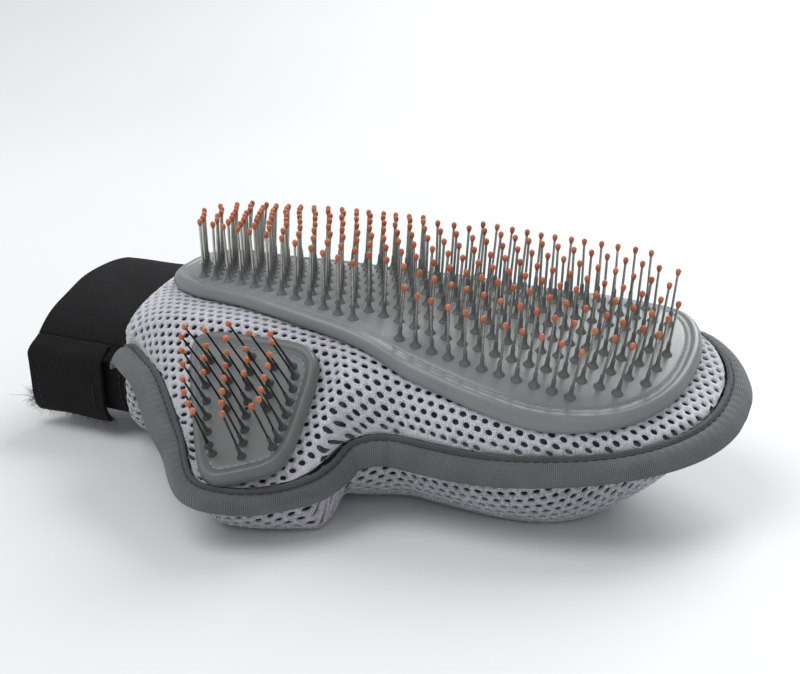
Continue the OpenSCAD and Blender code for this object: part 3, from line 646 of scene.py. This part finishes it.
palmTable, bellyTable = sideTable(True), sideTable(False)
print("tables made", round(float(palmTable["s"][-1]), 1), round(float(palmTable["high"].max()), 1))
palmCloth = makeKnit("palmMesh", palmTable, airMesh, ["palm_fabric", "thumb_palm_fabric"], 3)
backCloth = makeKnit("backMesh", bellyTable, airMeshShaded, ["back_fabric", "thumb_back_fabric"], 5)
palmLiner = makeLinerSheet("palmLiner", palmTable)
backLiner = makeLinerSheet("backLiner", bellyTable)
for piece in (palmCloth, backCloth, palmLiner, backLiner):
    spanThumb(piece)
print("mesh fabric made", len(palmCloth.data.polygons), len(backCloth.data.polygons))

# ---- binding tape folded over the seam ----

binding = dict(width=10.6, half=1.75, stitch=2.9, pucker=0.5, seamAt=2.3)


def seamFrames(step):
    line, length = evenly(seam, step)
    d = np.gradient(line[:, :2], axis=0)
    for _ in range(4):
        d[1:-1] = (d[:-2] + 2 * d[1:-1] + d[2:]) / 4
    d /= np.linalg.norm(d, axis=1, keepdims=True)
    droop = line[:, 3].copy()
    for _ in range(6):
        droop[1:-1] = (droop[:-2] + 2 * droop[1:-1] + droop[2:]) / 4
    return line, d, np.radians(droop), length


def tapeAt(line, d, droop, i, f, n):
    c, s = math.cos(droop[i]), math.sin(droop[i])
    f = f * (1 - 0.2 * ease(65, 80, -line[i, 1]))  # drawn in round the thumb's tip
    side = f * c + n * s
    return [line[i, 0] + d[i, 1] * side, line[i, 1] - d[i, 0] * side, line[i, 2] - f * s + n * c]


def makeTapeStrip():
    line, d, droop, length = seamFrames(0.72)
    w, h = binding["width"], binding["half"]
    profile = [(0.1, h - 0.9), (0.3, h - 0.25), (0.8, h + 0.1), (1.4, h + 0.15), (1.9, h + 0.05),
               (2.3, h - 0.05), (2.7, h + 0.1), (3.4, h + 0.5), (4.4, h + 0.85), (5.6, h + 0.95),
               (6.8, h + 0.75), (7.9, h + 0.3), (8.9, h - 0.3), (9.7, h - 0.95), (10.3, 0.5), (w, 0)]
    profile = profile + [(f, -n) for f, n in profile[-2::-1]]
    # distance round the profile for the weave
    v = np.r_[0, np.cumsum([math.dist(profile[k], profile[k + 1]) for k in range(len(profile) - 1)])]
    points, uv = [], []
    rnd = np.random.RandomState(4)
    wander = np.convolve(rnd.normal(0, 1, len(line) + 40), np.ones(41) / 41, "valid") * 1.1
    for i in range(len(line)):
        u = i * length / (len(line) - 1)
        phase = 2 * math.pi * u / binding["stitch"]
        pull = 0.5 + 0.5 * math.cos(phase + 0.5 * wander[i])
        for k, (f, n) in enumerate(profile):
            near = math.exp(-((f - binding["seamAt"]) / 0.6) ** 2)
            ripple = 0.2 * math.sin(phase + 0.7) * math.exp(-((f - 3.6) / 1.6) ** 2)
            sink = binding["pucker"] * near * (0.55 + 0.45 * pull)
            edge = 0.22 * pull if f < 0.6 else 0
            swing = 0.35 * wander[i] * f / w
            out = math.copysign(abs(n) - sink + ripple, n) if abs(n) > 0.01 else 0
            points.append(tapeAt(line, d, droop, i, f + edge, out + swing))
            uv.append((u, v[k]))
    points = np.array(points)
    points[:, 2] = np.maximum(points[:, 2], 0.05)
    m = len(profile)
    faces = gridFaces(len(line), m)
    faces += [tuple(range(m))[::-1], tuple((len(line) - 1) * m + k for k in range(m))]
    piece = makePiece("bindingTape", points, faces, tapeCloth, None, uv=uv)
    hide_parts("edge_binding", "thumb_binding")
    spanThumb(piece)
    return piece


def capsule(a, b, radius, up, sides=6, bulge=0.25):
    a, b = np.asarray(a, float), np.asarray(b, float)
    axis = (b - a) / max(np.linalg.norm(b - a), 1e-9)
    x = np.cross(axis, up)
    x /= max(np.linalg.norm(x), 1e-9)
    y = np.cross(x, axis)
    rings = [(0.0, 0.35, -0.1), (0.15, 0.9, 0.05), (0.5, 1.0, bulge), (0.85, 0.9, 0.05), (1.0, 0.35, -0.1)]
    points = [a + (b - a) * t + up * lift * radius + radius * r * (math.cos(q) * x + math.sin(q) * y)
              for t, r, lift in rings for q in np.linspace(0, 2 * math.pi, sides, endpoint=False)]
    faces = gridFaces(5, sides, closeCols=True)
    faces += [tuple(range(sides)), tuple(4 * sides + k for k in range(sides))[::-1]]
    return points, faces


def makeStitches(name, path, ups, stitch, gapShare, radius, material, nodes, body="mitt",
                 spans=False):
    # one short thread per stitch along an even path
    points, faces = [], []
    d = np.r_[0, np.cumsum(np.linalg.norm(np.diff(path, axis=0), axis=1))]
    count = int(d[-1] / stitch)
    at = lambda s: np.array([np.interp(s, d, path[:, k]) for k in range(3)])
    upAt = lambda s: np.array([np.interp(s, d, ups[:, k]) for k in range(3)])
    for i in range(count):
        a, b = (i + gapShare / 2) * stitch, (i + 1 - gapShare / 2) * stitch
        p, f = capsule(at(a), at(b), radius, upAt((a + b) / 2))
        faces += [tuple(k + len(points) for k in q) for q in f]
        points += p
    piece = makePiece(name, points, faces, material, None if spans else body)
    if nodes:
        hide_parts(*nodes)
    if spans:
        spanThumb(piece)
    return piece


makeTapeStrip()
line, d, droop, length = seamFrames(0.8)
for tag, side in (("Top", 1), ("Under", -1)):
    h = side * (binding["half"] - binding["pucker"] * 0.55)
    path = np.array([tapeAt(line, d, droop, i, binding["seamAt"], h) for i in range(len(line))])
    above = np.array([tapeAt(line, d, droop, i, binding["seamAt"], h + side) for i in range(len(line))])
    makeStitches("bindingStitches" + tag, path, above - path, binding["stitch"], 0.22, 0.3, tapeThread,
                 ["binding_stitching", "thumb_binding_stitching"] if side > 0 else [],
                 spans=True)
print("binding made")

# ---- rubber pads with a rolled rim and a sewn groove ----

pad = dict(x=14, length=189, halfWrist=25, halfFinger=43, face=4.4, roundWrist=28, roundFinger=45)
padWidth = [(0, 0), (0.14, 0.2), (0.3, 0.5), (0.51, 0.75), (0.72, 1), (1, 1.03)]
rim = [(0.6, 0.9), (0.15, 1.1), (-0.2, 1.7), (-0.3, 2.6), (-0.1, 3.7), (0.4, 4.7), (1.1, 5.25), (1.9, 5.3),
       (2.6, 4.95), (3.1, 4.5), (3.6, 4.35), (4.5, 4.35), (4.8, 4.15), (5.0, 3.98), (5.2, 4.15), (5.6, 4.38),
       (6.4, 4.4)]


def padHalf(x):
    s = (x - pad["x"]) / pad["length"]
    return (mix(pad["halfWrist"], pad["halfFinger"], keyed(padWidth, s))
            * roundEnd(1 - (x - pad["x"]) / pad["roundWrist"], 2.3)
            * roundEnd(1 - (pad["x"] + pad["length"] - x) / pad["roundFinger"], 2.3))


def padMid(x):
    end = pad["x"] + pad["length"]
    return 3 * ease(end - 50, end, x)


def padOutline():
    xs = pad["x"] + pad["length"] * (1 - np.cos(np.linspace(0, math.pi, 400))) / 2
    a = [(x, padMid(x) - padHalf(x)) for x in xs]
    b = [(x, padMid(x) + padHalf(x)) for x in xs[::-1]]
    return evenly(np.array([(x, y, 0) for x, y in a + b[1:-1]]), 1.6, closed=True)[0][:, :2]


def insetLoop(loop, d):
    t = np.roll(loop, -1, 0) - np.roll(loop, 1, 0)
    t /= np.maximum(np.linalg.norm(t, axis=1, keepdims=True), 1e-9)
    for _ in range(3):
        t = (np.roll(t, 1, 0) + 2 * t + np.roll(t, -1, 0)) / 4
    t /= np.maximum(np.linalg.norm(t, axis=1, keepdims=True), 1e-9)
    n = np.stack([-t[:, 1], t[:, 0]], 1)
    return loop + n * d


def makePad(name, loop, spineOf, surface, profile, material, nodes, body, stitches, inner=7):
    rings, heights = [], []
    for off, h in profile:
        rings.append(insetLoop(loop, off))
        heights.append(h)
    last = rings[-1]
    spine = np.array([spineOf(p) for p in last])
    for k in range(1, inner + 1):
        rings.append(last + (spine - last) * k / inner)
        heights.append(profile[-1][1])
    points = np.array([surface(q[0], q[1], h) for ring, h in zip(rings, heights) for q in ring])
    n = len(loop)
    faces = [f[::-1] for f in gridFaces(len(rings), n, closeCols=True)]
    faces.append(tuple(range(n)))
    piece = makePiece(name, points, faces, material, body)
    weld = piece.modifiers.new("weld", "WELD")
    weld.merge_threshold = 0.00002
    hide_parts(*nodes)
    ring = insetLoop(loop, stitches["inset"])
    ring = np.vstack([ring, ring[:1]])
    path = np.array([surface(q[0], q[1], stitches["height"]) for q in ring])
    ups = np.array([surface(q[0], q[1], stitches["height"] + 1) for q in ring]) - path
    makeStitches(name + "Stitches", path, ups, stitches["pitch"], stitches["gap"], stitches["radius"],
                 stitches["material"], stitches["nodes"], body)


outline = padOutline()
spineLow, spineHigh = pad["x"] + 24, pad["x"] + pad["length"] - 42


def palmSpine(p):
    x = min(max(p[0], spineLow), spineHigh)
    return (x, padMid(x))


makePad("palmPad", outline, palmSpine, palmAt, rim, padRubber, ["palm_pad", "palm_pad_felt"],
        "mitt", dict(inset=5.0, height=4.1, pitch=2.4, gap=0.35, radius=0.16, material=padThread,
                     nodes=["palm_pad_stitching"]))


def onThumbPlan(p, q):
    return np.array(thumbPoint((p, q, 0, 0))[:2])


thumbCorners = [np.array([glove["thumbX"] - 35, glove["creaseY"] - 3.5]),
                np.array([glove["thumbX"] + 17, glove["creaseY"] - 2.5]),
                onThumbPlan(44, 2), onThumbPlan(44, -24)]


def thumbPlan(a, b, inset=0):
    m = max(abs(a), abs(b))
    f = 1 if m < 0.001 else m / (abs(a) ** 5 + abs(b) ** 5) ** 0.2
    k = 1 - inset / 24
    s, t = (a * f * k + 1) / 2, (b * f * k + 1) / 2
    c = thumbCorners
    return mix(mix(c[0], c[1], s), mix(c[3], c[2], s), t)


def thumbAt(x, y, h=0):
    g = math.atan(1 - 0.011 * max(0, glove["creaseY"] - y))
    return np.array([x, y - (h + 1.2) * math.sin(g), thumbTop(y) + (h + 1.2) * math.cos(g)])


def thumbOutline():
    walk = [(-1 + 2 * k / 60, -1) for k in range(60)] + [(1, -1 + 2 * k / 60) for k in range(60)]
    walk += [(1 - 2 * k / 60, 1) for k in range(60)] + [(-1, 1 - 2 * k / 60) for k in range(60)]
    loop = np.array([tuple(thumbPlan(a, b)) + (0,) for a, b in walk])
    loop = evenly(loop, 1.1, closed=True)[0][:, :2]
    return loop[::-1]


thumbRimProfile = [(0.3, -0.2), (-0.1, 0.6), (-0.3, 1.6), (-0.3, 2.7), (-0.05, 3.8), (0.4, 4.5),
                   (1.0, 4.85), (1.7, 4.8), (2.3, 4.5), (2.7, 4.35), (3.1, 4.32), (3.35, 4.15), (3.6, 4.15), (3.9, 4.32), (4.6, 4.35)]
thumbCentre = thumbPlan(0, 0)


def thumbSpine(p):
    return tuple(thumbCentre + (np.array(p) - thumbCentre) * 0.03)


makePad("thumbPad", thumbOutline(), thumbSpine, thumbAt, thumbRimProfile, thumbPadRubberShaded,
        ["thumb_pad", "thumb_pad_felt"], "thumb",
        dict(inset=3.5, height=4.2, pitch=2.5, gap=0.4, radius=0.18, material=thumbThread,
             nodes=["thumb_pad_stitching"]))
print("pads made")

# ---- pins: a flared rubber foot, a steel wire and a bead ----

pins = dict(pitch=5.6, rows=8, wire=0.45, fan=[(0, 15.7), (0.5, 29.7), (1, 30.4)], lean=0.55, centreX=112,
            inset=9)
footProfile = [(1.95, 0.0), (1.9, 0.18), (1.55, 0.55), (1.1, 1.15), (0.82, 1.9), (0.72, 2.6), (0.72, 4.6),
               (0.66, 5.1), (0.46, 5.3)]
beadProfile = [(0.44, 0.0), (0.62, 0.35), (0.84, 0.9), (0.93, 1.4), (0.86, 1.9), (0.6, 2.3), (0.28, 2.5),
               (0.0, 2.55)]


def pinFan(x):
    return keyed(pins["fan"], min(1, max(0, (x - 28) / 168)))


def palmPinSpots():
    spots = []
    for r in range(pins["rows"]):
        t = 2 * r / (pins["rows"] - 1) - 1
        for c in range(-22, 25):
            x0 = pins["centreX"] + c * pins["pitch"]
            x = x0 - pins["lean"] * t * pinFan(x0)
            y = t * pinFan(x)
            if (pad["x"] + pins["inset"] < x < pad["x"] + pad["length"] - pins["inset"]
                    and abs(y - padMid(x)) < padHalf(x) - pins["inset"]):
                spots.append((x, y))
    return spots


def revolve(profile, at, up, sides):
    up = np.asarray(up, float) / np.linalg.norm(up)
    x = np.cross(up, [0.2, 1, 0.1])
    x /= np.linalg.norm(x)
    y = np.cross(up, x)
    points = [at + up * h + r * (math.cos(q) * x + math.sin(q) * y) for r, h in profile
              for q in np.linspace(0, 2 * math.pi, sides, endpoint=False)]
    return points, gridFaces(len(profile), sides, closeCols=True)


def makePins(prefix, stands, wire, thin, foot, body, wireNode, tipNode, footScale, seed):
    rnd = random.Random(seed)
    parts = {"Feet": ([], []), "Wires": ([], []), "Tips": ([], [])}

    def put(kind, profile, at, up, sides):
        p, f = revolve(profile, at, up, sides)
        pts, faces = parts[kind]
        faces += [tuple(k + len(pts) for k in q) for q in f]
        pts += p
    for at, up in stands:
        sway = np.array([rnd.gauss(0, 0.012), rnd.gauss(0, 0.012), 0])
        tipUp = up + sway
        tipUp /= np.linalg.norm(tipUp)
        put("Feet", [(r * footScale, h) for r, h in footProfile], at, up, 10)
        put("Wires", [(thin, 2.0), (thin, 10.0), (thin, 19.2)], at, tipUp, 8)
        put("Tips", beadProfile, at + tipUp * 18.6, tipUp, 10)
    kinds = (("Feet", foot, "pad_rubber" if body == "mitt" else "thumb_rubber", []),
             ("Wires", wire, "pin_steel", [wireNode]), ("Tips", tipPlastic, "tip_plastic", [tipNode]))
    for kind, material, slotName, nodes in kinds:
        pts, faces = parts[kind]
        piece = makePiece(prefix + kind, pts, faces, material, body)
        if nodes:
            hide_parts(*nodes)


palmStands = [(palmAt(x, y, pad["face"] - 0.1), palmUp(x, y)) for x, y in palmPinSpots()]
makePins("palmPin", palmStands, wireSteel, pins["wire"], footRubberShaded, "mitt", "palm_pins", "palm_pin_tips", 1.0, 11)
thumbStands = []
for c in range(5):
    for r in range(8):
        if c % 2 == 0 or r < 4:
            a, b = mix(-0.8, 0.82, c / 4), mix(-0.8, 0.8, (r + (c % 2) / 2) / 7)
            q = thumbPlan(a, b, 2.5)
            at, top = thumbAt(q[0], q[1], 4.25), thumbAt(q[0], q[1], 5.25)
            thumbStands.append((at, top - at))
makePins("thumbPin", thumbStands, thumbSteelShaded, pins["wire"] * 0.75, thumbFootRubberShaded, "thumb", "thumb_pins",
         "thumb_pin_tips", 0.85, 12)
print("pins made", len(palmStands), len(thumbStands))

# ---- wrist strap ----

strap = dict(outer=-36, inCuff=12, thick=1.6, rib=1.12, ribHigh=0.3, z=37.5, rise=12.5, drop=24.5, tilt=16,
             fold=150, lap=176, end=219, patch=0.9, gap=0.3)
strapX = strap["outer"]
loopW = halfWidth(0) - glove["meshThick"] - 1


def loopPoint(a, o):
    q, t = math.radians(a), math.radians(strap["tilt"])
    up = math.sin(q) >= 0
    p = 2 if up else glove["wristPower"]
    u = (loopW + o) * signedPower(math.cos(q), 2 / p)
    n = ((strap["rise"] if up else strap["drop"]) + o) * signedPower(math.sin(q), 2 / p)
    return u * math.cos(t) - max(0, n) * math.sin(t), strap["z"] + u * math.sin(t) + n


def bandPath(a0, a1, offset):
    turns = np.linspace(a0, a1, int(abs(a1 - a0) * 1.5) + 4)
    path = np.array([(0,) + loopPoint(a, offset(a)) for a in turns])
    return evenly(path, 1.1)[0]


def makeBand(name, path, x0, width, thick, nodes, body):
    t = np.gradient(path[:, 1:], axis=0)
    for _ in range(3):
        t[1:-1] = (t[:-2] + 2 * t[1:-1] + t[2:]) / 4
    t /= np.linalg.norm(t, axis=1, keepdims=True)
    # outward is away from the loop's middle
    n = np.stack([t[:, 1], -t[:, 0]], 1)
    middle = path[:, 1:].mean(0)
    if ((path[:, 1:] - np.array([0, 32])) * n).sum() < 0:
        n = -n
    cols = int(width / strap["rib"] * 5)
    points, uv = [], []
    d = np.r_[0, np.cumsum(np.linalg.norm(np.diff(path, axis=0), axis=1))]
    sideWave = 0.25 * np.sin(d / 7.3) + 0.2 * np.sin(d / 3.1 + 1)
    for side in (1, -1):
        for i in range(len(path)):
            for j in range(cols + 1):
                k = j / cols
                x = x0 + width * k + sideWave[i] * (1 - k) * 0.8
                rib = strap["ribHigh"] * (abs(math.sin(math.pi * width * k / strap["rib"])) - 0.5)
                h = (rib if side > 0 else -thick - rib * 0.6) - (0.35 if j in (0, cols) else 0) * side
                h += 0.22 * math.sin(d[i] / 11 + 3 * k) + 0.15 * math.sin(d[i] / 4.7 + 9 * k)
                points.append((x, path[i, 1] + n[i, 0] * h, path[i, 2] + n[i, 1] * h))
                uv.append((d[i], width * k))
    m, r = cols + 1, len(path)
    faces = gridFaces(r, m)
    faces += [tuple(q[::-1]) for q in gridFaces(r, m, start=r * m)]
    for i in range(0, (r - 1) * m, m):
        faces.append((i, r * m + i, r * m + i + m, i + m))
        faces.append((i + m - 1, i + 2 * m - 1, r * m + i + 2 * m - 1, r * m + i + m - 1))
    for j in range(m - 1):
        faces.append((j, j + 1, r * m + j + 1, r * m + j))
        end = (r - 1) * m + j
        faces.append((end, r * m + end, r * m + end + 1, end + 1))
    points = np.array(points)
    points[:, 2] = np.maximum(points[:, 2], 0.1)
    piece = makePiece(name, points, faces, elastic, body, uv=uv)
    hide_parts(*nodes)


stack = 2 * strap["patch"] + 2 * strap["gap"] + strap["thick"]


def tabOffset(a): return stack * ease(strap["fold"], strap["fold"] + 22, a)


loopPath = bandPath(strap["fold"], strap["lap"] - 360, lambda a: 0)
tabPath = bandPath(strap["fold"] + 1, strap["end"], tabOffset)
tabWidth = -strapX - 2.5
makeBand("strapLoop", loopPath, strapX, strap["inCuff"] - strapX, strap["thick"], ["wrist_strap"], "mitt")
makeBand("strapTab", tabPath, strapX, tabWidth, strap["thick"], ["strap_tab"], "strap_end")


def makePatch(name, low, high, body, nodes, seed):
    # a thin backing with a coat of short bent hairs
    rnd = random.Random(seed)
    turns = np.linspace(180, 214, 30)
    x0, w = strapX + 3, tabWidth - 6
    points = []
    for o in (low, high):
        for a in turns:
            y, z = loopPoint(a, o)
            for k in range(13):
                points.append((x0 + w * k / 12, y, z))
    faces = gridFaces(30, 13) + [q[::-1] for q in gridFaces(30, 13, start=390)]
    face, out = (high, 1) if body == "mitt" else (low, -1)
    for _ in range(1500):
        a, x = rnd.uniform(180, 214), rnd.uniform(x0, x0 + w)
        hair = rnd.uniform(0.1, 0.5)
        y0, z0 = loopPoint(a, face)
        y1, z1 = loopPoint(a + rnd.uniform(-0.5, 0.5), face + out * hair)
        q = len(points)
        points += [(x, y0, z0), (x + 0.12, y0, z0), (x + rnd.uniform(-0.4, 0.4), y1, z1)]
        faces.append((q, q + 1, q + 2))
    piece = makePiece(name, points, faces, hookPile, body, smooth=False)
    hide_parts(*nodes)


makePatch("loopPatch", 0.1, 1.0, "mitt", ["loop_patch"], 21)
under = stack - strap["thick"]
makePatch("hookPatch", under - 1.0, under - 0.1, "strap_end", ["hook_patch"], 22)


def makeFray(name, spots, body, seed, material):
    # loose yarn ends along the cut edges
    rnd = random.Random(seed)
    points, faces = [], []
    for at, out, count in spots:
        for _ in range(count):
            p = np.array(at, float) + np.array([rnd.gauss(0, 0.35) for _ in range(3)])
            v = np.array(out, float) + np.array([rnd.gauss(0, 0.7), rnd.gauss(0, 0.5), rnd.gauss(0, 0.5)])
            size, r = rnd.uniform(1.2, 3.4), rnd.uniform(0.05, 0.1)
            bend = np.array([rnd.gauss(0, 0.5), rnd.gauss(0, 0.5), rnd.gauss(0, 0.3) - 0.2])
            path = [p + v * size * t + bend * size * t * t for t in (0, 0.35, 0.7, 1)]
            base = len(points)
            for k, c in enumerate(path):
                for q in range(3):
                    a = 2 * math.pi * q / 3
                    ring = np.array([math.cos(a), math.sin(a) * 0.7, math.sin(a) * 0.7])
                    points.append(c + r * (1 - 0.2 * k) * ring)
            faces += gridFaces(4, 3, closeCols=True, start=base)
    points = np.array(points)
    points[:, 2] = np.maximum(points[:, 2], 0.3)
    makePiece(name, points, faces, material, body)


spots = []
for a in np.linspace(196, 222, 26):
    y, z = loopPoint(a, stack * 0.6)
    spots.append(((strapX + 0.4, y, z), (-1, -0.3, -0.1), 9))
endY, endZ = loopPoint(strap["end"], stack * 0.7)
for x in np.linspace(strapX, strapX + tabWidth, 60):
    spots.append(((x, endY, endZ), (-0.1, 0.25, -0.5), 7))
makeFray("strapFray", spots, "strap_end", 31, frayYarn)

# sewn rows on the strap and its patches
def sewRow(name, base, x, radius, nodes, body):
    path = base.copy()
    path[:, 0] = x
    n = path - np.array([x, 0, 32])
    n[:, 0] = 0
    n /= np.linalg.norm(n, axis=1, keepdims=True)
    makeStitches(name, path, n, 2.6, 0.3, radius, strapThread, nodes, body)


rowPath = bandPath(strap["fold"], strap["lap"] - 360, lambda a: 0.1)
sewRow("strapStitches0", rowPath, 3.0, 0.22, ["strap_stitching"], "mitt")
sewRow("strapStitches1", rowPath, 5.2, 0.22, [], "mitt")
for name, o, body, nodes in (("loopPatchStitches", 0.15, "mitt", ["loop_patch_stitching"]),
                             ("hookPatchStitches", stack + 0.15, "strap_end", ["hook_patch_stitching"])):
    base = bandPath(182, 212, lambda a: o)
    sewRow(name + "0", base, strapX + 4, 0.2, nodes, body)
    sewRow(name + "1", base, strapX + tabWidth - 4, 0.2, [], body)
print("strap made")

# ---- room: a pale floor swept up behind, soft light ----

def makeRoom():
    curve = dict(near=-2.2, bendFrom=0.7, reach=1.9, top=3.2)
    turn = [(curve["bendFrom"] + curve["reach"] * math.sin(a), curve["reach"] * (1 - math.cos(a)))
            for a in np.linspace(0, math.pi / 2, 40)]
    profile = [(curve["near"], 0.0)] + turn + [(curve["bendFrom"] + curve["reach"], curve["top"])]
    view = np.array([-math.sin(az), math.cos(az)])
    side = np.array([math.cos(az), math.sin(az)])
    points = [(view[0] * p[0] + side[0] * w, view[1] * p[0] + side[1] * w, p[1])
              for p in profile for w in np.linspace(-4, 4, 9)]
    m, tree, shader = newMaterial("paleFloor")
    colour = addRamp(tree, addNoise(tree, objectCoords(tree), 2.0), [(0.3, "#dee0e0"), (0.7, "#e2e4e4")])
    dress(tree, shader, {"Base Color": colour}, {"Roughness": 0.55})
    mesh = bpy.data.meshes.new("floor")
    mesh.from_pydata(points, [], gridFaces(len(profile), 9))
    mesh.polygons.foreach_set("use_smooth", [True] * len(mesh.polygons))
    floor = bpy.data.objects.new("floor", mesh)
    bpy.context.scene.collection.objects.link(floor)
    mesh.materials.append(m)


lights = [dict(name="keyLight", at=(-0.5, -0.5, 1.3), size=1.1, power=9.5),
          dict(name="fillLight", at=(1.2, -0.9, 0.7), size=1.2, power=2),
          dict(name="backLight", at=(0.2, 1.3, 1.2), size=1.3, power=23)]


def makeLights():
    for spec in lights:
        data = bpy.data.lights.new(spec["name"], "AREA")
        data.shape, data.size, data.energy = "DISK", spec["size"], spec["power"]
        data.color = toLinear("#fbfdff")[:3]
        lamp = bpy.data.objects.new(spec["name"], data)
        bpy.context.scene.collection.objects.link(lamp)
        lamp.location = spec["at"]
        lamp.rotation_mode = "QUATERNION"
        lamp.rotation_quaternion = (Vector((0, 0, 0.03)) - Vector(spec["at"])).to_track_quat("-Z", "Y")
    world = bpy.data.worlds.new("studio")
    world.use_nodes = True
    world.node_tree.nodes["Background"].inputs["Color"].default_value = toLinear("#f7f7f8")
    world.node_tree.nodes["Background"].inputs["Strength"].default_value = 0.54
    bpy.context.scene.world = world
    bpy.context.scene.view_settings.view_transform = "Standard"


makeRoom()
makeLights()
print("room made")
